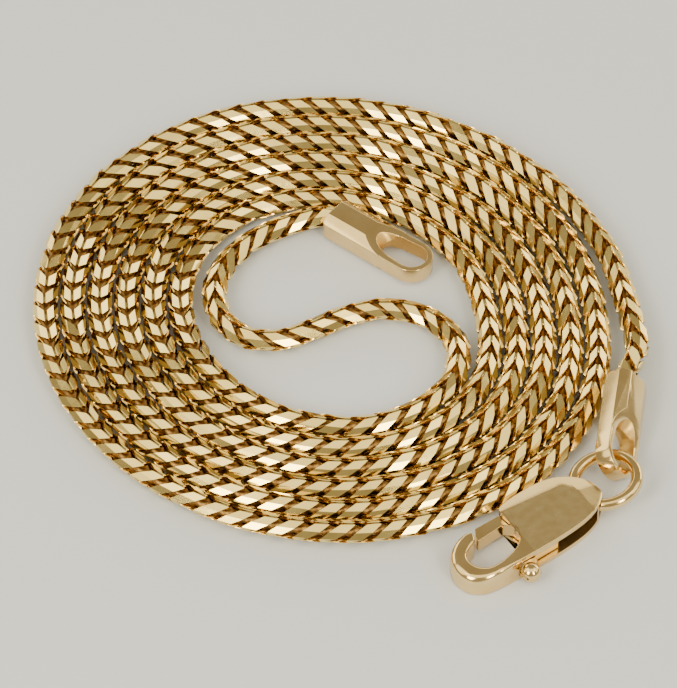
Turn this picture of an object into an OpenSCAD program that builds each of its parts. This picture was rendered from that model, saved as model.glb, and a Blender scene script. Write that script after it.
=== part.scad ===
// Franco chain, coiled on a surface, with its end caps, jump ring and trigger clasp.
// The frame's origin is under the middle of the whole object, on the surface; +Y runs away from the clasp.

/* [Chain] */
// Width of the chain from corner to corner
chain_w = 2.06; // [1.9:0.02:2.08]
// Half width of the small flat that is worn on each corner
corner_flat = 0.22; // [0.15:0.01:0.3]

/* [Coil] */
// Distance from one turn to the next
turn_pitch = 2.2; // [2.18:0.01:2.24]
// Mean radius of the turn that starts the coil
start_r = 13.56; // [13.4:0.02:13.7]
// How far the coil is out of round
oval = 0.84; // [0.7:0.02:1]
// How far the inner turns are pushed in on the right-hand side
side_push = 0.65; // [0.3:0.05:0.7]

/* [End caps] */
// Width of an end cap
cap_w = 3.5; // [3.4:0.05:3.6]
// Height of an end cap's barrel
cap_h = 2.4; // [2.3:0.05:2.4]
// Height of the strap round the eye
eye_h = 1.4; // [1.3:0.05:1.4]
// Length of an end cap
cap_l = 9.8; // [9.6:0.1:9.9]

/* [Jump ring] */
// Outer diameter of the jump ring
ring_d = 6; // [5.9:0.05:6]
// Wire of the jump ring
ring_wire = 0.98; // [0.9:0.02:0.98]

/* [Clasp] */
// Height of the clasp's body
clasp_h = 2.3; // [2.3:0.05:2.5]
// Thickness of each of the body's two plates
plate_t = 0.44; // [0.4:0.01:0.44]
// Height of the hook at its outer end
hook_h = 1.9; // [1.8:0.05:2.1]
// Radius of the pin that the lever turns on
pin_r = 0.4; // [0.35:0.01:0.45]
// Radius of the lever's thumb knob
knob_r = 0.8; // [0.7:0.05:0.85]

/* [Hidden] */
$fn = 64;
gold = [0.83, 0.68, 0.38];
polished_gold = [0.86, 0.7, 0.42];
spring_gold = [0.7, 0.52, 0.25];

// From the coil's centre to the middle of the whole object
origin_shift = [0.27, -1.73];

// Coil: rings of the swept tube stand at the same angles on every turn
rings_a_turn = 11;
ring_step = 360 / rings_a_turn;
mitre = 1 / cos(ring_step / 2);
// Corners of the tube lie outside the true curve by half of what its sides lie inside
corner_out = 1 + (mitre - 1) / 2;
// The first ring's angle puts a corner of every turn where the inner cap is nearest to the coil
coil_start = -313;
last_whole_ring = 64;
oval_angle = 122.5;
push_spread = 25;
push_end = 1620;
mid_h = chain_w / 2;

// End caps: place of the chain end, heading, pitch and roll
inner_cap_at = [0.3, 10.95, cap_h / 2];
inner_cap_turn = [0, 0, -39];
outer_cap_at = [23.5, -8.3, 1.98];
outer_cap_turn = [-50, 1.3, -98.5];
bevel_y = 0.9;
bevel_z = 0.5;
solid_l = 3.9;
scoop_l = 2.6;
strap_t = 0.45;
throat_r = 1.18;
throat_in = 1.35;
// Slanted hollows above and below, where the barrel ends in the eye
hollow_r = 1.1;
hollow_x = 5.83;
hollow_l = 1.3;
hollow_out = 1.4;
hollow_lean = 42;
mouth_corner = [0.3, 0.15];
socket_r = 1.1;
socket_l = 0.9;
chain_in = 0.8;
chain_out = 1;
bend_out = 0.42;

// Jump ring: place, and how far it leans up to the right and up to the far side
ring_at = [21.44, -18.32, 1.475];
ring_lean = 11;
ring_rise = 1.7;

// Clasp: place of the rear tip, heading, and hand-set outline from the rear tip, with the near side at +Y
clasp_at = [21.1, -19.85, 0];
clasp_heading = -149.4;
hook_start = 8;
clasp_end = 14.2;
outline = [[0, -0.2], [0.35, -1.5], [1.2, -2.4], [2.4, -3.05], [3.9, -3.3], [5.8, -3.1], [7.3, -2.75],
           [7.95, -2.4], [8.15, -1.7], [8.0, -0.7], [7.85, 0.2], [8.1, 1.0], [8.95, 1.7], [10.3, 2.15],
           [11.5, 2.2], [12.3, 1.75], [12.65, 0.95], [12.5, 0.2], [11.9, -0.25], [11.25, -0.65],
           [11.1, -1.3], [11.7, -1.65], [12.7, -1.3], [13.6, -0.45], [14.05, 0.9], [13.7, 2.3],
           [12.7, 3.05], [11.3, 3.2], [9.6, 3.05], [7.4, 2.85], [5.0, 2.55], [2.9, 2.1], [1.4, 1.45],
           [0.4, 0.6]];
// Room inside for the lever, open on the near side and at the mouth
room = [[2.6, -2.3], [4.2, -2.65], [6.2, -2.5], [7.6, -2.1], [9.2, -2.6], [9.2, 1.2], [9.5, 1.75],
        [9.5, 4], [0.6, 4], [1.2, 1.5]];
web_clear = 0.1;
// The upper plate falls away in a shoulder on the far side and at the rear
shoulder_y = -1.85;
shoulder_x = 1.85;
shoulder_fall = 0.25;
rear_fall = 0.2;
// The pin ends short of the plates' outer faces
pin_cover = 0.14;
pin_at = [6.6, -0.4];
pin_fit = 0.02;
lever_fit = 0.05;
lever_gap = 0.1;
tongue = [[6.4, -1.55], [8.3, -2.05], [10.55, -1.8], [10.9, -1.15], [10.95, -0.6], [8.4, -1.05],
          [7.4, -0.2], [6.6, -0.1]];
stem = [[6.3, -0.9], [7.3, -0.6], [8.3, 1.3], [9.0, 2.6], [9.2, 3.3], [8.3, 3.6], [7.7, 2.5],
        [5.4, 2.2], [5.0, 1.6], [5.6, 0.5]];
hub_r = 1.15;
// The knob is a ball drawn out to a blunt tip towards the body
knob_at = [8.85, 3.72];
knob_tip_l = 1.3;
knob_tip_r = 0.3;
knob_tip_turn = -132;

// Inner stretch: hand-set points of the double bend from the inner cap to the coil
tail_points = [[-3.5, 10.35], [-6.3, 8.55], [-8.5, 6.0], [-9.5, 2.9], [-8.95, -0.3], [-6.9, -2.55],
               [-4.4, -2.8], [-1.6, -1.7], [1.5, 0.05], [4.9, 0.65], [8.2, -0.55], [10.1, -3.4],
               [9.35, -6.6]];

// Smooth closed curve through points, with steps new points for each given one
function between(a, b, c, d, t) = 0.5 * (2 * b + (c - a) * t + (2 * a - 5 * b + 4 * c - d) * t * t
                                         + (3 * b - a - 3 * c + d) * t * t * t);
function closed_curve(p, steps) = let (n = len(p))
    [for (i = [0:n - 1]) for (k = [0:steps - 1])
        between(p[(i + n - 1) % n], p[i], p[(i + 1) % n], p[(i + 2) % n], k / steps)];

// Spiral of the coil: a is the angle travelled clockwise, in degrees
function from_right(a) = abs((a + 180 + 3600) % 360 - 180);
function push(a) = a < push_end ? side_push * exp(-pow(from_right(a) / push_spread, 2)) : 0;
function coil_r(a) = start_r + turn_pitch * a / 360 + oval * cos(2 * (a + oval_angle)) - push(a);
function coil_point(a) = let (r = corner_out * coil_r(a)) [r * cos(a), -r * sin(a), mid_h];
function heading_of(turn) = [cos(turn.z) * cos(turn.y), sin(turn.z) * cos(turn.y), -sin(turn.y)];

coil_route = concat(
    [for (k = [0:last_whole_ring]) coil_point(coil_start + k * ring_step)],
    [outer_cap_at - chain_out * heading_of(outer_cap_turn),
     outer_cap_at + chain_in * heading_of(outer_cap_turn)]);
tail_route = concat(
    [inner_cap_at + chain_in * heading_of(inner_cap_turn),
     inner_cap_at - bend_out * heading_of(inner_cap_turn)],
    [for (p = tail_points) [p.x, p.y, mid_h]],
    [coil_point(coil_start)]);

// One ring of the swept tube: the chain's square section stands on a corner
section = [for (m = [[1, 1], [-1, 1], [-1, -1], [1, -1]]) each
    (m.x * m.y > 0
        ? [[m.x * chain_w / 2, m.y * corner_flat], [m.x * corner_flat, m.y * chain_w / 2]]
        : [[m.x * corner_flat, m.y * chain_w / 2], [m.x * chain_w / 2, m.y * corner_flat]])];
function unit(v) = v / norm(v);
function ring_at_point(c, way, wide) = let (side = unit(cross(way, [0, 0, 1])), up = cross(side, way))
    [for (s = section) c + s.x * wide * side + s.y * up];
function way_at(route, i) = unit(route[min(i + 1, len(route) - 1)] - route[max(i - 1, 0)]);

module swept(route, first_way, last_way, wide) {
    n = len(route);
    q = len(section);
    ways = [for (i = [0:n - 1]) i == 0 ? first_way : i == n - 1 ? last_way : way_at(route, i)];
    points = [for (i = [0:n - 1]) each ring_at_point(route[i], ways[i], wide[i])];
    sides = [for (i = [0:n - 2]) for (k = [0:q - 1])
        [i * q + k, i * q + (k + 1) % q, (i + 1) * q + (k + 1) % q, (i + 1) * q + k]];
    start_face = [for (k = [q - 1:-1:0]) k];
    end_face = [for (k = [0:q - 1]) (n - 1) * q + k];
    polyhedron(points, concat([start_face], sides, [end_face]), 10);
}

// Where the coil and the inner stretch meet face to face
joint_way = unit(coil_point(coil_start + ring_step) - coil_point(coil_start - ring_step));

module chain_coil() {
    n = len(coil_route);
    color(gold)
        swept(coil_route, joint_way, heading_of(outer_cap_turn),
              [for (i = [0:n - 1]) i < n - 2 ? mitre : 1]);
}

module chain_tail() {
    color(gold)
        swept(tail_route, -heading_of(inner_cap_turn), joint_way,
              [for (i = [0:len(tail_route) - 1]) i < len(tail_route) - 1 ? 1 : mitre]);
}

// End cap along +X from the chain's side, with the eye's hole along Z
function cheek_z(x) = let (run = solid_l + scoop_l, drop = (cap_h - eye_h) / 2,
                           r = (scoop_l * scoop_l + drop * drop) / (2 * drop))
    x < solid_l ? cap_h / 2 : x < run ? eye_h / 2 + r - sqrt(r * r - pow(run - x, 2)) : eye_h / 2;
function arc(c, r, from, to, steps) =
    [for (k = [0:steps]) let (a = from + (to - from) * k / steps) c + r * [cos(a), sin(a)]];
cheek_xs = concat([0], [for (k = [0:8]) solid_l + scoop_l * k / 8], [cap_l]);

module end_cap() {
    end_r = cap_w / 2;
    hole_r = end_r - strap_t;
    throat_x = solid_l + throat_r + throat_in;
    hole_x = cap_l - end_r;
    mouth_y = end_r - mouth_corner.y;
    flat_y = end_r - bevel_y;
    flat_z = cap_h / 2 - bevel_z;
    difference() {
        intersection() {
            translate([0, 0, -cap_h])
                linear_extrude(2 * cap_h)
                    polygon(concat([[0, -mouth_y], [0, mouth_y], [mouth_corner.x, end_r]],
                                   arc([hole_x, 0], end_r, 90, -90, 24),
                                   [[mouth_corner.x, -end_r]]));
            rotate([90, 0, 0])
                linear_extrude(2 * cap_w, center = true)
                    polygon(concat([for (x = cheek_xs) [x, cheek_z(x)]],
                                   [for (i = [len(cheek_xs) - 1:-1:0]) let (x = cheek_xs[i])
                                       [x, -cheek_z(x)]]));
            rotate([90, 0, 90])
                linear_extrude(cap_l)
                    polygon([for (m = [[1, 1], [-1, 1], [-1, -1], [1, -1]]) each
                        (m.x * m.y > 0
                            ? [[m.x * end_r, m.y * flat_z], [m.x * flat_y, m.y * cap_h / 2]]
                            : [[m.x * flat_y, m.y * cap_h / 2], [m.x * end_r, m.y * flat_z]])]);
        }
        // The eye's hole is a drop shape, narrow towards the barrel
        translate([0, 0, -cap_h])
            linear_extrude(2 * cap_h)
                polygon(concat(arc([throat_x, 0], throat_r, 80, 280, 16),
                               arc([hole_x, 0], hole_r, -90, 90, 24)));
        for (side = [-1, 1])
            translate([hollow_x, 0, side * cap_h / 2])
                rotate([0, side > 0 ? 180 - hollow_lean : hollow_lean, 0])
                    translate([0, 0, -hollow_out])
                        cylinder(r = hollow_r, h = hollow_l + hollow_out);
        // Socket for the chain
        translate([-1, 0, 0])
            rotate([0, 90, 0])
                cylinder(r = socket_r, h = socket_l + 1);
    }
}

module placed(at, turn) {
    translate(at)
        rotate([0, turn.y, turn.z])
            rotate([turn.x, 0, 0])
                children();
}

module end_cap_inner() {
    color(polished_gold) placed(inner_cap_at, inner_cap_turn) end_cap();
}

module end_cap_outer() {
    color(polished_gold) placed(outer_cap_at, outer_cap_turn) end_cap();
}

module jump_ring() {
    color(polished_gold)
        translate(ring_at)
            rotate([ring_rise, -ring_lean, 0])
                rotate_extrude()
                    translate([(ring_d - ring_wire) / 2, 0])
                        circle(d = ring_wire, $fn = 32);
}

module in_clasp() {
    translate(clasp_at)
        rotate([0, 0, clasp_heading])
            children();
}

module clasp_body() {
    slot_h = clasp_h - 2 * plate_t;
    // The jump ring's centre, seen from the clasp's rear tip
    away = ring_at - clasp_at;
    ring_x = away.x * cos(clasp_heading) + away.y * sin(clasp_heading);
    ring_y = away.y * cos(clasp_heading) - away.x * sin(clasp_heading);
    ring_in = ring_d / 2 - ring_wire;
    color(polished_gold)
        in_clasp()
            difference() {
                intersection() {
                    linear_extrude(clasp_h) polygon(closed_curve(outline, 4));
                    rotate([90, 0, 0])
                        linear_extrude(20, center = true)
                            polygon([[-1, 0], [clasp_end, 0], [clasp_end, hook_h], [hook_start, clasp_h],
                                     [shoulder_x, clasp_h], [-1, clasp_h - rear_fall * (shoulder_x + 1)]]);
                    translate([-1, 0, 0])
                        rotate([90, 0, 90])
                            linear_extrude(clasp_end + 2)
                                polygon([[-4, 0], [4, 0], [4, clasp_h], [shoulder_y, clasp_h],
                                         [-4, clasp_h - shoulder_fall * (shoulder_y + 4)]]);
                }
                translate([0, 0, plate_t])
                    linear_extrude(slot_h)
                        polygon(room);
                // Channel between the plates for the jump ring, round the web at the rear tip
                translate([ring_x, ring_y, plate_t])
                    difference() {
                        cylinder(r = ring_d / 2 + web_clear, h = slot_h);
                        translate([0, 0, -1]) cylinder(r = ring_in - web_clear, h = slot_h + 2);
                    }
                translate([pin_at.x, pin_at.y, pin_cover - pin_fit])
                    cylinder(r = pin_r + pin_fit, h = clasp_h - 2 * (pin_cover - pin_fit));
            }
}

module clasp_lever() {
    lever_h = clasp_h - 2 * plate_t - 2 * lever_gap;
    color(polished_gold)
        in_clasp()
            difference() {
                union() {
                    translate([0, 0, plate_t + lever_gap])
                        linear_extrude(lever_h) {
                            polygon(tongue);
                            polygon(stem);
                            translate(pin_at) circle(r = hub_r);
                        }
                    translate([knob_at.x, knob_at.y, clasp_h / 2]) {
                        sphere(r = knob_r);
                        rotate([0, 90, knob_tip_turn])
                            cylinder(r1 = knob_r, r2 = knob_tip_r, h = knob_tip_l);
                    }
                }
                translate([pin_at.x, pin_at.y, -1]) cylinder(r = pin_r + lever_fit, h = clasp_h + 2);
            }
}

module clasp_pin() {
    color(spring_gold)
        in_clasp()
            translate([pin_at.x, pin_at.y, pin_cover])
                cylinder(r = pin_r, h = clasp_h - 2 * pin_cover);
}

module centred() {
    translate([-origin_shift.x, -origin_shift.y, 0]) children();
}

centred() chain_coil();
centred() chain_tail();
centred() end_cap_inner();
centred() end_cap_outer();
centred() jump_ring();
centred() clasp_body();
centred() clasp_lever();
centred() clasp_pin();
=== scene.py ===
import math
import bmesh
import bpy
import numpy as np
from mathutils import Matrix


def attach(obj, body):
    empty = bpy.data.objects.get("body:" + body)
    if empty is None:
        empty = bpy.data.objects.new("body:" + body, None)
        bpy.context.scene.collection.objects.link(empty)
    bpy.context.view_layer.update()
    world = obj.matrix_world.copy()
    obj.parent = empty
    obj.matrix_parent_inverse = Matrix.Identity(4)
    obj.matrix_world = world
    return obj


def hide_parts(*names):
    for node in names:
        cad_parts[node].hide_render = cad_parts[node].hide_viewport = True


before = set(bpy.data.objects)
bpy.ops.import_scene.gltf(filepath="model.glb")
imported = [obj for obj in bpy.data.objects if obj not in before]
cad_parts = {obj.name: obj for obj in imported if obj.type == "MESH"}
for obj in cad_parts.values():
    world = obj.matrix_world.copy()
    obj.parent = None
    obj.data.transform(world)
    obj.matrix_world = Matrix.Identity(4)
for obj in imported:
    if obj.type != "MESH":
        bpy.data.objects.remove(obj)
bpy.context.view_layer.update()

mm = 0.001


# A mesh from a vertex array and an array of faces; an edge stays sharp between two crisp corners of one
# kind, and between any two crisp corners of a ring that is crisp across
def meshPiece(name, verts, faces, crisp=None, across=None):
    mesh = bpy.data.meshes.new(name)
    mesh.from_pydata(verts.reshape(-1, 3).tolist(), [], faces.tolist())
    mesh.shade_smooth()
    if crisp is not None:
        ends = np.empty(2 * len(mesh.edges), dtype=np.int32)
        mesh.edges.foreach_get("vertices", ends)
        kinds = crisp[ends.reshape(-1, 2)]
        along = (kinds[:, 0] == kinds[:, 1]) & (kinds[:, 0] > 0)
        rims = across[ends.reshape(-1, 2)].all(axis=1) & (kinds > 0).all(axis=1)
        mark = mesh.attributes.new("sharp_edge", "BOOLEAN", "EDGE")
        mark.data.foreach_set("value", along | rims)
    mesh.update()
    piece = bpy.data.objects.new(name, mesh)
    bpy.context.collection.objects.link(piece)
    return piece


# Quads of a grid of rows by columns; wrapRows and wrapCols close it on itself
def gridFaces(rows, cols, wrapRows, wrapCols, start=0):
    r = np.arange(rows if wrapRows else rows - 1)
    c = np.arange(cols if wrapCols else cols - 1)
    r, c = np.meshgrid(r, c, indexing="ij")
    rNext = (r + 1) % rows
    cNext = (c + 1) % cols
    quads = np.stack([r * cols + c, r * cols + cNext, rNext * cols + cNext, rNext * cols + c], axis=-1)
    return quads.reshape(-1, 4) + start


# Vectors made one long: each divided by its own length
def unit(v):
    return v / np.linalg.norm(v, axis=-1, keepdims=True)


# materials
goldLook = {
    # colour, roughness, its spread, scale of the wear
    "cut": ((0.90, 0.70, 0.28), 0.13, 0.04, 700),
    # the wire's uncut faces: a darker copy of the cut gold, painted shade for the flanks and the gaps
    # between strands
    "wireShade": ((0.76, 0.52, 0.19), 0.16, 0.04, 900),
    # the inner wires: gold darkened as painted shade, standing for the dark inside the chain
    "paintedShade": ((0.30, 0.17, 0.06), 0.45, 0.05, 900),
    "cap": ((0.85, 0.63, 0.31), 0.15, 0.04, 500),
    "plate": ((0.87, 0.67, 0.35), 0.26, 0.04, 1400),
    # the caps' hollows: a rougher gold, darkened as painted shade
    "hollowShade": ((0.70, 0.46, 0.17), 0.42, 0.10, 1800),
    "spring": ((0.70, 0.50, 0.24), 0.22, 0.05, 600),
}
goldWear = {
    "noiseDetail": 3.0, "specular": 0.5, "bumpStrength": 0.35, "bumpHeight": 0.00001,
    # where in the noise the darker and the lighter tint stand, and what each does to the colour
    "dark": (0.3, (0.93, 0.90, 0.82)), "light": (0.7, (1.04, 1.04, 1.06)),
}


def node(tree, kind, place):
    made = tree.nodes.new(kind)
    made.location = place
    return made


# Polished gold: nearly even colour, roughness from fine cloudy wear, and a shallow bump in the same pattern
def goldMaterial(kind):
    color, rough, spread, scale = goldLook[kind]
    mat = bpy.data.materials.new(kind + "Gold")
    mat.use_nodes = True
    tree = mat.node_tree
    tree.nodes.clear()
    out = node(tree, "ShaderNodeOutputMaterial", (600, 0))
    shader = node(tree, "ShaderNodeBsdfPrincipled", (300, 0))
    shader.inputs["Metallic"].default_value = 1.0
    shader.inputs["Specular IOR Level"].default_value = goldWear["specular"]
    coord = node(tree, "ShaderNodeTexCoord", (-700, 0))
    noise = node(tree, "ShaderNodeTexNoise", (-500, 0))
    noise.inputs["Scale"].default_value = scale
    noise.inputs["Detail"].default_value = goldWear["noiseDetail"]
    ramp = node(tree, "ShaderNodeMapRange", (-250, -150))
    ramp.inputs["To Min"].default_value = rough - spread
    ramp.inputs["To Max"].default_value = rough + spread
    tint = node(tree, "ShaderNodeValToRGB", (-250, 150))
    for stop, (position, share) in zip(tint.color_ramp.elements, (goldWear["dark"], goldWear["light"])):
        stop.position = position
        stop.color = (color[0] * share[0], color[1] * share[1], color[2] * share[2], 1)
    bump = node(tree, "ShaderNodeBump", (50, -300))
    bump.inputs["Strength"].default_value = goldWear["bumpStrength"]
    bump.inputs["Distance"].default_value = goldWear["bumpHeight"]
    link = tree.links.new
    link(coord.outputs["Object"], noise.inputs["Vector"])
    link(noise.outputs["Fac"], ramp.inputs["Value"])
    link(noise.outputs["Fac"], tint.inputs["Fac"])
    link(noise.outputs["Fac"], bump.inputs["Height"])
    link(ramp.outputs["Result"], shader.inputs["Roughness"])
    link(tint.outputs["Color"], shader.inputs["Base Color"])
    link(bump.outputs["Normal"], shader.inputs["Normal"])
    link(shader.outputs["BSDF"], out.inputs["Surface"])
    return mat


cutGold = goldMaterial("cut")
wireShadeGold = goldMaterial("wireShade")
paintedShadeGold = goldMaterial("paintedShade")
capGold = goldMaterial("cap")
plateGold = goldMaterial("plate")
hollowShadeGold = goldMaterial("hollowShade")
springGold = goldMaterial("spring")
print("materials ready")

# route of the chain, in millimetres about the coil's centre, as the solids have it
coil = {
    "centre": (-0.27, 1.73), "startR": 13.56, "turnPitch": 2.2, "oval": 0.84, "ovalAngle": 122.5,
    "sidePush": 0.65, "pushSpread": 25.0, "pushEnd": 1620.0, "midH": 1.03,
    "startAngle": -325.0, "endAngle": 1785.0, "step": 3.0,
    # the angle at which the tail's node ends and the coil's begins
    "splitAngle": -313.0,
}
outerCap = {"at": (23.5, -8.3, 1.98), "roll": -50.0, "pitch": 1.3, "heading": -98.5}
innerCap = {"at": (0.3, 10.95, 1.2), "roll": 0.0, "pitch": 0.0, "heading": -39.0}
# how far each chain end reaches into its cap, and the route's points just outside the caps
chainEnds = {"inCap": 0.7, "beforeInner": 0.42, "beforeOuter": 1.2, "rise": (24.55, -4.4, 1.40)}
curve = {"step": 0.1, "perSpan": 24}
tailPoints = [(-3.5, 10.35), (-6.3, 8.55), (-8.5, 6.0), (-9.5, 2.9), (-8.95, -0.3), (-6.9, -2.55),
              (-4.4, -2.8), (-1.6, -1.7), (1.5, 0.05), (4.9, 0.65), (8.2, -0.55), (10.1, -3.4)]


# Spiral radius: grows evenly with the angle, plus an oval of two lobes, less a bell-shaped push-in at the
# right, except near the outer end
def coilRadius(a):
    fromRight = np.abs((a + 180) % 360 - 180)
    bell = coil["sidePush"] * np.exp(-(fromRight / coil["pushSpread"]) ** 2)
    push = np.where(a < coil["pushEnd"], bell, 0)
    swing = coil["oval"] * np.cos(np.radians(2 * (a + coil["ovalAngle"])))
    return coil["startR"] + coil["turnPitch"] * a / 360 + swing - push


# Points on the spiral at even steps of the angle, wound clockwise as seen from above
def coilPoints(fromAngle, toAngle):
    a = np.arange(fromAngle, toAngle, coil["step"])
    r = coilRadius(a)
    t = np.radians(a)
    return np.stack([r * np.cos(t), -r * np.sin(t), np.full_like(t, coil["midH"])], axis=1)


# A cap's way along its own length: level along its heading, then tipped down by its pitch
def capWay(cap):
    h = math.radians(cap["heading"])
    p = math.radians(cap["pitch"])
    return np.array([math.cos(h) * math.cos(p), math.sin(h) * math.cos(p), -math.sin(p)])


# Smooth curve through points: a Catmull-Rom spline whose knots lie apart by the square roots of the chord
# lengths, sampled evenly by length
def smoothCurve(points, spacing):
    p = np.asarray(points, dtype=float)
    p = np.vstack([2 * p[0] - p[1], p, 2 * p[-1] - p[-2]])
    gaps = np.sqrt(np.linalg.norm(np.diff(p, axis=0), axis=1))
    knots = np.concatenate([[0], np.cumsum(gaps)])
    fine = []
    for i in range(1, len(p) - 2):
        t0, t1, t2, t3 = knots[i - 1:i + 3]
        t = np.linspace(t1, t2, curve["perSpan"], endpoint=False)[:, None]
        a1 = (t1 - t) / (t1 - t0) * p[i - 1] + (t - t0) / (t1 - t0) * p[i]
        a2 = (t2 - t) / (t2 - t1) * p[i] + (t - t1) / (t2 - t1) * p[i + 1]
        a3 = (t3 - t) / (t3 - t2) * p[i + 1] + (t - t2) / (t3 - t2) * p[i + 2]
        b1 = (t2 - t) / (t2 - t0) * a1 + (t - t0) / (t2 - t0) * a2
        b2 = (t3 - t) / (t3 - t1) * a2 + (t - t1) / (t3 - t1) * a3
        fine.append((t2 - t) / (t2 - t1) * b1 + (t - t1) / (t2 - t1) * b2)
    fine = np.vstack(fine + [p[-2:-1]])
    run = np.concatenate([[0], np.cumsum(np.linalg.norm(np.diff(fine, axis=0), axis=1))])
    even = np.arange(0, run[-1], spacing)
    return np.stack([np.interp(even, run, fine[:, k]) for k in range(3)], axis=1)


inWay = capWay(innerCap)
outWay = capWay(outerCap)
innerAt = np.array(innerCap["at"])
outerAt = np.array(outerCap["at"])
route = np.vstack([
    [innerAt + chainEnds["inCap"] * inWay, innerAt - chainEnds["beforeInner"] * inWay],
    [(x, y, coil["midH"]) for x, y in tailPoints],
    coilPoints(coil["startAngle"], coil["endAngle"]),
    [chainEnds["rise"], outerAt - chainEnds["beforeOuter"] * outWay, outerAt + chainEnds["inCap"] * outWay],
])
route = smoothCurve(route, curve["step"])
routeLength = curve["step"] * (len(route) - 1)
print("chain route", round(routeLength, 1), "mm")

# links: one closed wire for each pitch, cut flat on its four sides
link = {
    "pitch": 2.0, "coreR": 0.45, "coreWave": 0.12, "coreStep": 0.25,
    # near the outer cap the chain rolls over by this many degrees, along this length
    "rollEnd": -45.0, "rollLength": 14.0,
    # steps of the route between which the chain's way is taken
    "wayAhead": 4, "wayBehind": 3,
    # how much single links lie askew: about the chain's way, and about the way across it
    "rollSpread": 3.0, "leanSpread": 2.4, "spreadLimit": 2, "seed": 7,
    # how deep the flanks' corners lie, as a share of the keel's depth
    "flankShare": 0.42,
    # quarter of a link: a leaf of two cut facets runs from the ridge back to the side
    "rows": [
        # back  side   up   flat  wide  deep
        (0.00, 0.00, 0.99, 0.30, 0.70, 0.50),
        (0.22, 0.14, 0.93, 1.15, 1.25, 0.50),
        (1.00, 0.66, 0.60, 1.32, 1.40, 0.50),
        (1.72, 1.02, 0.16, 1.10, 1.30, 0.50),
        (2.15, 1.00, 0.00, 0.45, 1.20, 0.50),
    ],
}


# The quarter is mirrored up-down and left-right into one closed loop of rings; each ring's outward way
# points from the chain's middle line to the ring
def linkShape():
    rows = np.array(link["rows"])
    last = len(rows) - 1
    order = list(range(last + 1)) + list(range(last - 1, -1, -1))
    order = order + order[1:-1]
    signUp = [1] * last + [0] + [-1] * (2 * last - 1) + [0] + [1] * (last - 1)
    signSide = [0] + [-1] * (2 * last - 1) + [0] + [1] * (2 * last - 1)
    picked = rows[order]
    centre = picked[:, :3] * np.stack([np.ones(len(order)), np.array(signSide), np.array(signUp)], axis=1)
    return picked, centre, unit(centre[:, 1:])


# Points given as along, side and up, laid on the route: the route's point there, plus side times the level
# way across, plus up times the way square to both; near the outer cap side and up turn over smoothly
def onRoute(along, side, up):
    s = np.clip(along, 0, routeLength - curve["step"])
    near = np.clip((s - routeLength + link["rollLength"]) / link["rollLength"], 0, 1)
    roll = math.radians(link["rollEnd"]) * near * near * (3 - 2 * near)
    side, up = side * np.cos(roll) - up * np.sin(roll), side * np.sin(roll) + up * np.cos(roll)
    i = np.clip((s / curve["step"]).astype(int), 0, len(route) - 2)
    f = (s / curve["step"] - i)[..., None]
    point = route[i] * (1 - f) + route[i + 1] * f
    ahead = np.clip(i + link["wayAhead"], 0, len(route) - 1)
    behind = np.clip(i - link["wayBehind"], 0, len(route) - 1)
    way = unit(route[ahead] - route[behind])
    sideWay = unit(np.cross(way, np.array([0, 0, 1.0])))
    upWay = np.cross(sideWay, way)
    verts = point + sideWay * side[..., None] + upWay * up[..., None]
    verts[..., 2] = np.maximum(verts[..., 2], 0.0)
    return verts + np.array([coil["centre"][0], coil["centre"][1], 0])


# The wires inside the chain, where the links pass through each other: an eight-sided bundle whose radius is
# a mean plus a cosine wave, slanted round the bundle, two waves for each link
def coreMesh(start, end):
    s = np.arange(start, end, link["coreStep"])
    around = np.arange(8) * math.pi / 4
    along, angle = np.meshgrid(s, around, indexing="ij")
    wave = np.cos(4 * math.pi * along / link["pitch"] + 2 * angle)
    r = link["coreR"] + link["coreWave"] * wave
    verts = onRoute(along, r * np.cos(angle), r * np.sin(angle))
    rows = len(s)
    sides = gridFaces(rows, 8, False, True)[:, ::-1]
    # three quads close each eight-sided end
    caps = np.array([[0, 1, 2, 3], [0, 3, 4, 7], [4, 5, 6, 7]])
    faces = np.vstack([sides, caps, (caps + (rows - 1) * 8)[:, ::-1]])
    return verts.reshape(-1, 3), faces


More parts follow.
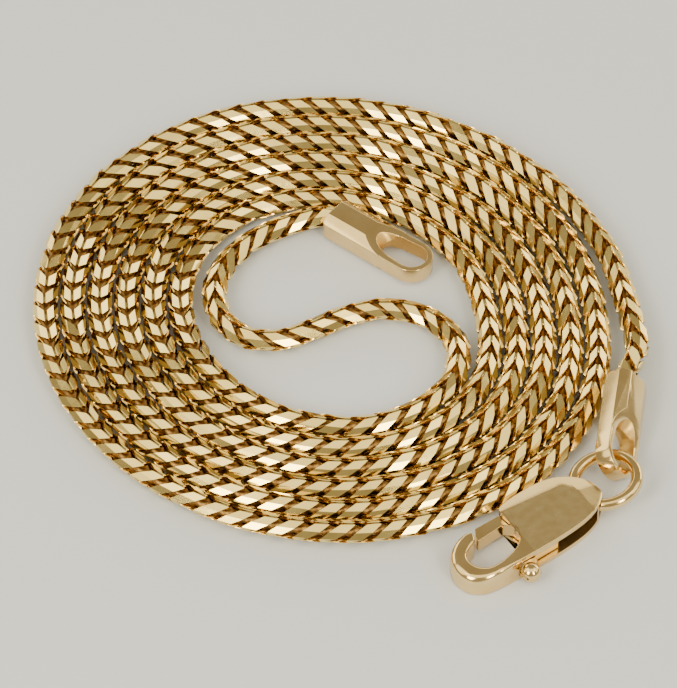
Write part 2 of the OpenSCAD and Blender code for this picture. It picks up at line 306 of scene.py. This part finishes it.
# All links of a stretch and the wires inside them, as one piece: the link's rings repeated at each pitch,
# each link turned and leant by its own small angles
def buildLinks(name, firstLink, lastLink):
    picked, centre, outward = linkShape()
    half = picked[:, 3] / 2
    wide = picked[:, 4] / 2
    deep = picked[:, 5]
    # ring corners as (along, depth): flat edge, flat edge, flank, keel, flank
    along = np.stack([half, -half, -wide, np.zeros_like(half), wide], axis=1)
    flank = -link["flankShare"] * deep
    depth = np.stack([0 * half, 0 * half, flank, -deep, flank], axis=1)
    back = -centre[:, 0:1] + along
    side = centre[:, 1:2] + depth * outward[:, 0:1]
    up = centre[:, 2:3] + depth * outward[:, 1:2]
    local = np.stack([back, side, up], axis=-1).reshape(-1, 3)
    count = lastLink - firstLink
    at = (firstLink + np.arange(count) + 0.5) * link["pitch"]
    limit = link["spreadLimit"]
    chance = np.random.default_rng(link["seed"] + firstLink)
    askew = np.radians(link["rollSpread"]) * chance.standard_normal((count, 1)).clip(-limit, limit)
    lean = np.radians(link["leanSpread"]) * chance.standard_normal((count, 1)).clip(-limit, limit)
    linkSide = local[:, 1] * np.cos(askew) - local[:, 2] * np.sin(askew)
    linkUp = local[:, 1] * np.sin(askew) + local[:, 2] * np.cos(askew) + local[:, 0] * lean
    verts = onRoute(at[:, None] - local[:, 0] - local[:, 2] * lean, linkSide, linkUp)
    rings, sides = along.shape
    one = gridFaces(rings, sides, True, True)
    faces = (one[None] + (np.arange(count) * rings * sides)[:, None, None]).reshape(-1, 4)
    coreVerts, coreFaces = coreMesh(at[0] - link["pitch"] / 2, at[-1] + link["pitch"] / 2)
    allVerts = np.vstack([verts.reshape(-1, 3), coreVerts])
    allFaces = np.vstack([faces, coreFaces + count * rings * sides])
    # corners 0 and 1 of a ring are the flat's edges; the rings at the facets' ends are crisp across
    corner = np.arange(rings * sides) % sides
    none = np.zeros(len(coreVerts), dtype=int)
    crisp = np.concatenate([np.tile(np.where(corner < 2, corner + 1, 0), count), none])
    facetEnds = np.isin(picked[:, 0], [row[0] for row in link["rows"][1:4]])
    across = np.concatenate([np.tile(np.repeat(facetEnds, sides), count), none > 0])
    piece = meshPiece(name, allVerts * mm, allFaces, crisp, across)
    # the third material, the dark gold, is painted shade on the inner wires
    for material in (cutGold, wireShadeGold, paintedShadeGold):
        piece.data.materials.append(material)
    # faces take the cut gold on the flats, the wire gold darkened as painted shade on the rest of each
    # ring, and the inner wires' dark gold of painted shade
    kind = np.concatenate([np.tile(np.where(corner == 0, 0, 1), count), np.full(len(coreFaces), 2)])
    piece.data.polygons.foreach_set("material_index", kind.astype(np.int32))
    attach(piece, "necklace")
    return piece


linkCount = int(routeLength / link["pitch"])
split = coilPoints(coil["splitAngle"], coil["splitAngle"] + 1)[0]
tailLength = np.argmin(np.linalg.norm(route - split, axis=1)) * curve["step"]
tailLinks = int(round(tailLength / link["pitch"]))
tailPiece = buildLinks("tailLinks", 0, tailLinks)
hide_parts("chain_tail")
coilPiece = buildLinks("coilLinks", tailLinks, linkCount)
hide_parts("chain_coil")
print("links", linkCount)

# clasp body, in the clasp's own frame: X from the rear tip to the hook, Y towards the near side
clasp = {
    "at": (21.1, -19.85), "heading": -149.4, "height": 2.3, "plate": 0.44,
    "outline": [(0, -0.2), (0.35, -1.5), (1.2, -2.4), (2.4, -3.05), (3.9, -3.3), (5.8, -3.1), (7.3, -2.75),
                (7.95, -2.4), (8.15, -1.7), (8.0, -0.7), (7.85, 0.2), (8.1, 1.0), (8.95, 1.7), (10.3, 2.15),
                (11.5, 2.2), (12.3, 1.75), (12.65, 0.95), (12.5, 0.2), (11.9, -0.25), (11.25, -0.65),
                (11.1, -1.3), (11.7, -1.65), (12.7, -1.3), (13.6, -0.45), (14.05, 0.9), (13.7, 2.3),
                (12.7, 3.05), (11.3, 3.2), (9.6, 3.05), (7.4, 2.85), (5.0, 2.55), (2.9, 2.1), (1.4, 1.45),
                (0.4, 0.6)],
    # rows across the body: place on the outline's far or inner side, place on its near or outer side,
    # and how wide the edge is rounded at each
    "rows": [(0.05, 33.95, 0.10, 0.07), (1, 33, 0.10, 0.07), (2, 32, 0.10, 0.07), (3, 31, 0.10, 0.07),
             (4, 30.4, 0.10, 0.07), (5, 29.6, 0.10, 0.07), (6, 29, 0.10, 0.07), (7, 28.85, 0.10, 0.07),
             (8, 28.75, 0.10, 0.07), (9, 28.6, 0.10, 0.08), (10, 28.45, 0.12, 0.09), (11, 28.2, 0.18, 0.14),
             (12, 27.8, 0.26, 0.26), (13, 27.2, 0.32, 0.45), (14, 26.6, 0.34, 0.60), (15, 25.6, 0.34, 0.66),
             (16, 24.6, 0.34, 0.66), (17, 23.6, 0.34, 0.62), (18, 22.6, 0.34, 0.56), (19, 21.4, 0.30, 0.45),
             (19.95, 20.05, 0.20, 0.20)],
    "rowSteps": 8, "arcSteps": 5, "edgeShare": 0.45,
    # how far the rounds drop, and how wide the lower ones are, as shares of the upper ones' width
    "outerDrop": 1.15, "innerDrop": 0.75, "lowerShare": 0.4,
    # the upper plate is level inside a line with a rounded corner and falls away outside it
    "levelX": 1.85, "levelY": -1.85, "levelRound": 1.1, "fall": 0.25, "creaseHalf": 0.05,
    "hookX": 8.0, "hookFall": 0.0645, "levelParts": (0.2, 0.4, 0.6, 0.8),
    # the level line stays inside these shares of the row's span and of its upper face
    "lineShare": 0.8, "faceShare": 0.97,
    # least rise and least span of a row that are divided by
    "leastRise": 0.01, "leastSpan": 0.001,
    # the lower edges' round: how far in each point lies, and how high, as shares of its width
    "lowIn": (0, 0.3, 1), "lowUp": (1, 0.3, 0),
    # room for the lever, and channel for the jump ring: centre, inner and outer radius
    "room": [(2.6, -2.3), (4.2, -2.65), (6.2, -2.5), (7.6, -2.1), (9.2, -2.6), (9.2, 1.2), (9.5, 1.75),
             (9.5, 4), (0.6, 4), (1.2, 1.5)],
    "ringAt": (21.44, -18.32), "channel": (1.92, 3.1), "channelSteps": 72,
    # edges sharper than this stay crisp; faces that look up at least this much are brushed
    "sharpAngle": 34.0, "brushedUp": 0.9999,
}


# Points of the body's outline, a closed Catmull-Rom spline, at places counted in its listed points
def onOutline(place):
    p = np.array(clasp["outline"])
    i = np.floor(place).astype(int)
    t = (place - i)[:, None]
    a, b, c, d = (p[(i + k) % len(p)] for k in (-1, 0, 1, 2))
    square = 2 * a - 5 * b + 4 * c - d
    cube = 3 * b - a - 3 * c + d
    return 0.5 * (2 * b + (c - a) * t + square * t ** 2 + cube * t ** 3)


# Height of the upper face: the full height, less a slope times the distance outside the level line, less
# another times the way along the hook
def claspTop(x, y):
    c = clasp
    toRear = np.maximum(c["levelX"] + c["levelRound"] - x, 0)
    toFar = np.maximum(c["levelY"] + c["levelRound"] - y, 0)
    beyond = np.maximum(np.hypot(toRear, toFar) - c["levelRound"], 0)
    return c["height"] - c["fall"] * beyond - c["hookFall"] * np.maximum(x - c["hookX"], 0)


# From the clasp's own frame to the shared one: turned by the heading, then moved to the clasp's place
def fromClasp(local):
    h = math.radians(clasp["heading"])
    x = local[..., 0] * math.cos(h) - local[..., 1] * math.sin(h) + clasp["at"][0] + coil["centre"][0]
    y = local[..., 0] * math.sin(h) + local[..., 1] * math.cos(h) + clasp["at"][1] + coil["centre"][1]
    return np.stack([x, y, local[..., 2]], axis=-1) * mm


# The outer skin: rows from the rear tip to the hook's tip, each a closed loop over the upper face from the
# far side to the near side and back under the lower face, with elliptic rounds at the edges
def claspSkin():
    c = clasp
    keys = np.array(c["rows"])
    steps = np.linspace(0, len(keys) - 1, (len(keys) - 1) * c["rowSteps"] + 1)
    far, near, farWide, nearWide = (np.interp(steps, np.arange(len(keys)), keys[:, k]) for k in range(4))
    a = onOutline(far)
    b = onOutline(near)
    span = np.linalg.norm(b - a, axis=1)
    farWide = np.minimum(farWide, c["edgeShare"] * span)
    nearWide = np.minimum(nearWide, c["edgeShare"] * span)
    # where each row crosses the level line
    fromCorner = np.clip(c["levelX"] + c["levelRound"] - a[:, 0], 0, c["levelRound"])
    lineY = c["levelY"] + c["levelRound"] - np.sqrt(c["levelRound"] ** 2 - fromCorner ** 2)
    rise = b[:, 1] - a[:, 1]
    crossing = span * (lineY - a[:, 1]) / np.where(np.abs(rise) < c["leastRise"], c["leastRise"], rise)
    half = c["creaseHalf"]
    nearest = farWide + 2 * half
    crossing = np.clip(crossing, nearest, np.maximum(span * c["lineShare"], nearest))
    quarter = np.linspace(0, math.pi / 2, c["arcSteps"])
    farArc = farWide[:, None] * (1 - np.cos(quarter))
    farDrop = farWide[:, None] * c["innerDrop"] * (1 - np.sin(quarter))
    nearArc = span[:, None] - nearWide[:, None] * (1 - np.sin(quarter))
    nearDrop = nearWide[:, None] * c["outerDrop"] * (1 - np.cos(quarter))
    last = span - nearWide
    line = np.stack([crossing - half, crossing + half], axis=1)
    line = np.minimum(line, last[:, None] * c["faceShare"])
    parts = np.array(c["levelParts"])
    level = line[:, 1:] * (1 - parts) + last[:, None] * parts
    across = np.concatenate([farArc, line, level, nearArc], axis=1)
    drop = np.concatenate([farDrop, 0 * line, 0 * level, nearDrop], axis=1)
    lowIn = np.array(c["lowIn"])
    lowUp = np.array(c["lowUp"])
    lowFar = farWide[:, None] * c["lowerShare"]
    lowNear = nearWide[:, None] * c["lowerShare"]
    acrossLow = np.concatenate([span[:, None] - lowNear * lowIn, lowFar * lowIn[::-1]], axis=1)
    zLow = np.concatenate([lowNear * lowUp, lowFar * lowUp[::-1]], axis=1)
    across = np.concatenate([across, acrossLow], axis=1)
    way = (b - a) / np.maximum(span, c["leastSpan"])[:, None]
    xy = a[:, None] + way[:, None] * across[..., None]
    top = claspTop(xy[..., 0], xy[..., 1])
    upper = drop.shape[1]
    z = np.concatenate([top[:, :upper] - drop, zLow], axis=1)
    rows, cols = z.shape
    faces = gridFaces(rows, cols, False, True)[:, ::-1]
    verts = fromClasp(np.dstack([xy, z])).reshape(-1, 3)
    # both ends are closed by strips between the loop's two halves, which have as many points each
    i = np.arange(cols // 2 - 1)
    end = np.stack([i, cols - 1 - i, cols - 2 - i, i + 1], axis=1)
    faces = np.vstack([faces, end[:, ::-1], end + (rows - 1) * cols])
    return verts, faces


# A prism's corners and sides: a closed outline at two heights, joined by quads
def prismMesh(points, low, high):
    n = len(points)
    loops = np.stack([np.column_stack([points, np.full(n, z)]) for z in (low, high)])
    return fromClasp(loops).reshape(-1, 3), gridFaces(2, n, False, True)


# A bare object that only cuts the skin
def plainObject(name, verts, faces):
    mesh = bpy.data.meshes.new(name)
    mesh.from_pydata(verts.tolist(), [], faces)
    made = bpy.data.objects.new(name, mesh)
    bpy.context.collection.objects.link(made)
    return made


# The skin less the lever's room, a prism, and the ring's channel, a ring of square section
def buildClaspShell():
    c = clasp
    verts, faces = claspSkin()
    shell = meshPiece("claspShell", verts, faces)
    low = c["plate"]
    high = c["height"] - c["plate"]
    roomVerts, roomSides = prismMesh(np.array(c["room"], dtype=float), low, high)
    n = len(c["room"])
    room = plainObject("roomCutter", roomVerts,
                       roomSides.tolist() + [list(range(n))[::-1], list(range(n, 2 * n))])
    h = math.radians(c["heading"])
    away = np.array(c["ringAt"]) - np.array(c["at"])
    ringX = away[0] * math.cos(h) + away[1] * math.sin(h)
    ringY = away[1] * math.cos(h) - away[0] * math.sin(h)
    steps = c["channelSteps"]
    turn = np.linspace(0, 2 * math.pi, steps, endpoint=False)
    circle = np.stack([np.cos(turn), np.sin(turn)], axis=1)
    inner, outer = c["channel"]
    loops = [np.column_stack([circle * r + [ringX, ringY], np.full(steps, z)])
             for r, z in ((outer, low), (outer, high), (inner, high), (inner, low))]
    channel = plainObject("channelCutter", fromClasp(np.stack(loops)).reshape(-1, 3),
                          gridFaces(4, steps, True, True).tolist())
    for cutter in (room, channel):
        step = shell.modifiers.new("cut", "BOOLEAN")
        step.object = cutter
        step.operation = "DIFFERENCE"
        step.solver = "EXACT"
    bpy.context.view_layer.update()
    ready = shell.evaluated_get(bpy.context.evaluated_depsgraph_get())
    mesh = bpy.data.meshes.new_from_object(ready)
    shell.modifiers.clear()
    shell.data = mesh
    for cutter in (room, channel):
        bpy.data.objects.remove(cutter)
    mesh.shade_smooth()
    mesh.set_sharp_from_angle(angle=math.radians(c["sharpAngle"]))
    mesh.materials.clear()
    mesh.materials.append(capGold)
    mesh.materials.append(plateGold)
    normals = np.empty(3 * len(mesh.polygons))
    mesh.polygons.foreach_get("normal", normals)
    brushed = normals.reshape(-1, 3)[:, 2] > c["brushedUp"]
    mesh.polygons.foreach_set("material_index", brushed.astype(np.int32))
    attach(shell, "necklace")
    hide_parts("clasp_body")


buildClaspShell()

# caps and lever: the solids with their edges eased
easedLook = {
    "mergeWithin": 0.002, "creaseAngle": 1.0, "steps": 3, "edgeAngle": 24.0,
    "capEdge": 0.045, "leverEdge": 0.05,
    # where the hollows' painted shade lies: the eye's middle line along the cap, how far its walls lie from
    # it, and how level they may face
    "hollowShadeFrom": 5.7, "hollowShadeTo": 8.05, "hollowShadeReach": 1.42, "hollowShadeUp": 0.85,
}


# The walls of a cap's eye and of the hollow before it get a rougher gold, darkened as painted shade: faces
# within reach of the eye's middle line that don't face up or down
def markHollowShade(mesh, cap):
    heading = math.radians(cap["heading"])
    roll = math.radians(cap["roll"])
    way = capWay(cap)
    level = np.array([-math.sin(heading), math.cos(heading), 0])
    sideWay = level * math.cos(roll) + np.cross(way, level) * math.sin(roll)
    centres = np.empty(3 * len(mesh.polygons))
    normals = np.empty(3 * len(mesh.polygons))
    mesh.polygons.foreach_get("center", centres)
    mesh.polygons.foreach_get("normal", normals)
    offset = centres.reshape(-1, 3) / mm - np.array(cap["at"]) - np.array([*coil["centre"], 0])
    along = offset @ way
    beyond = along - np.clip(along, easedLook["hollowShadeFrom"], easedLook["hollowShadeTo"])
    near = np.hypot(beyond, offset @ sideWay) < easedLook["hollowShadeReach"]
    upright = np.abs(normals.reshape(-1, 3) @ np.cross(way, sideWay)) < easedLook["hollowShadeUp"]
    mesh.polygons.foreach_set("material_index", (near & upright).astype(np.int32))


# A copy of a solid with merged corners, flat faces joined up and its edges rounded by a bevel
def easedCopy(name, nodeName, body, width, cap=None):
    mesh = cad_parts[nodeName].data.copy()
    work = bmesh.new()
    work.from_mesh(mesh)
    bmesh.ops.remove_doubles(work, verts=work.verts, dist=easedLook["mergeWithin"] * mm)
    bmesh.ops.dissolve_limit(work, angle_limit=math.radians(easedLook["creaseAngle"]),
                             verts=work.verts, edges=work.edges)
    work.to_mesh(mesh)
    work.free()
    mesh.shade_smooth()
    mesh.materials.clear()
    mesh.materials.append(capGold)
    # the eye's walls get the darker gold of painted shade
    if cap is not None:
        mesh.materials.append(hollowShadeGold)
        markHollowShade(mesh, cap)
    piece = bpy.data.objects.new(name, mesh)
    bpy.context.collection.objects.link(piece)
    bevel = piece.modifiers.new("edge", "BEVEL")
    bevel.width = width * mm
    bevel.segments = easedLook["steps"]
    bevel.limit_method = "ANGLE"
    bevel.angle_limit = math.radians(easedLook["edgeAngle"])
    bevel.use_clamp_overlap = False
    bevel.harden_normals = True
    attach(piece, body)
    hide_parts(nodeName)


easedCopy("innerCap", "end_cap_inner", "necklace", easedLook["capEdge"], innerCap)
easedCopy("outerCap", "end_cap_outer", "necklace", easedLook["capEdge"], outerCap)
easedCopy("claspLeverArm", "clasp_lever", "lever", easedLook["leverEdge"])
for name, material in (("jump_ring", capGold), ("clasp_pin", springGold)):
    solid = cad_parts[name]
    solid.data.materials.clear()
    solid.data.materials.append(material)
print("caps and clasp ready")

# floor, lights and camera
stage = {
    "floorColor": (0.66, 0.69, 0.82), "floorRough": 0.6, "floorHalf": 1.2, "floorDrop": 0.00001,
    "lightColor": (1.0, 0.94, 0.66), "worldColor": (0.42, 0.37, 0.25),
}
floorMat = bpy.data.materials.new("paleFloor")
floorMat.use_nodes = True
floorShader = floorMat.node_tree.nodes["Principled BSDF"]
floorShader.inputs["Base Color"].default_value = (*stage["floorColor"], 1)
floorShader.inputs["Roughness"].default_value = stage["floorRough"]
h = stage["floorHalf"]
drop = stage["floorDrop"]
floorVerts = np.array([[-h, -h, -drop], [h, -h, -drop], [h, h, -drop], [-h, h, -drop]])
floor = meshPiece("floor", floorVerts, np.array([[0, 1, 2, 3]]))
floor.data.materials.append(floorMat)

cameraSet = {
    "elevation": 46.5, "distance": 377.4, "aim": (0.314, -0.548), "clipStart": 0.01,
    # focal length in pixels of the photo, the photo's longer side, and the sensor's in millimetres
    "pixelFocal": 4675.0, "longSide": 688, "sensor": 36,
}
el = math.radians(cameraSet["elevation"])
eye = np.array([cameraSet["aim"][0], cameraSet["aim"][1] - cameraSet["distance"] * math.cos(el),
                cameraSet["distance"] * math.sin(el)]) * mm
camData = bpy.data.cameras.new("camera")
camData.sensor_width = cameraSet["sensor"]
camData.lens = cameraSet["pixelFocal"] * camData.sensor_width / cameraSet["longSide"]
camData.clip_start = cameraSet["clipStart"]
camera = bpy.data.objects.new("camera", camData)
camera.location = eye.tolist()
camera.rotation_euler = (math.radians(90) - el, 0, 0)
bpy.context.collection.objects.link(camera)
bpy.context.scene.camera = camera

lights = [
    # name, azimuth from the camera's side, elevation, distance, width and height in metres, radiance
    ("boxLeft", -38, 33, 0.60, 0.22, 0.28, 14.0),
    ("boxRight", 33, 33, 0.60, 0.14, 0.28, 14.0),
    ("boxTop", 0, 70, 0.60, 1.10, 0.36, 1.5),
    ("boxBack", 180, 20, 0.70, 0.70, 0.24, 1.5),
    ("cardRight", 132, 17, 0.70, 0.45, 0.26, 3.2),
    ("sideRight", 88, 40, 0.70, 0.44, 0.60, 1.5),
    ("sideLeft", -88, 42, 0.70, 0.44, 0.60, 1.8),
    ("cardLeft", -132, 17, 0.70, 0.50, 0.30, 2.6),
]
for name, azimuth, elevation, distance, width, height, radiance in lights:
    data = bpy.data.lights.new(name, "AREA")
    data.shape = "RECTANGLE"
    data.size = width
    data.size_y = height
    data.energy = radiance * math.pi * width * height
    data.color = stage["lightColor"]
    lamp = bpy.data.objects.new(name, data)
    az = math.radians(azimuth)
    lift = math.radians(elevation)
    lamp.location = (distance * math.sin(az) * math.cos(lift), -distance * math.cos(az) * math.cos(lift),
                     distance * math.sin(lift))
    lamp.rotation_euler = (math.radians(90) - lift, 0, az)
    bpy.context.collection.objects.link(lamp)

world = bpy.data.worlds.new("studio")
world.use_nodes = True
world.node_tree.nodes["Background"].inputs["Color"].default_value = (*stage["worldColor"], 1)
world.node_tree.nodes["Background"].inputs["Strength"].default_value = 1.0
bpy.context.scene.world = world
print("stage ready")
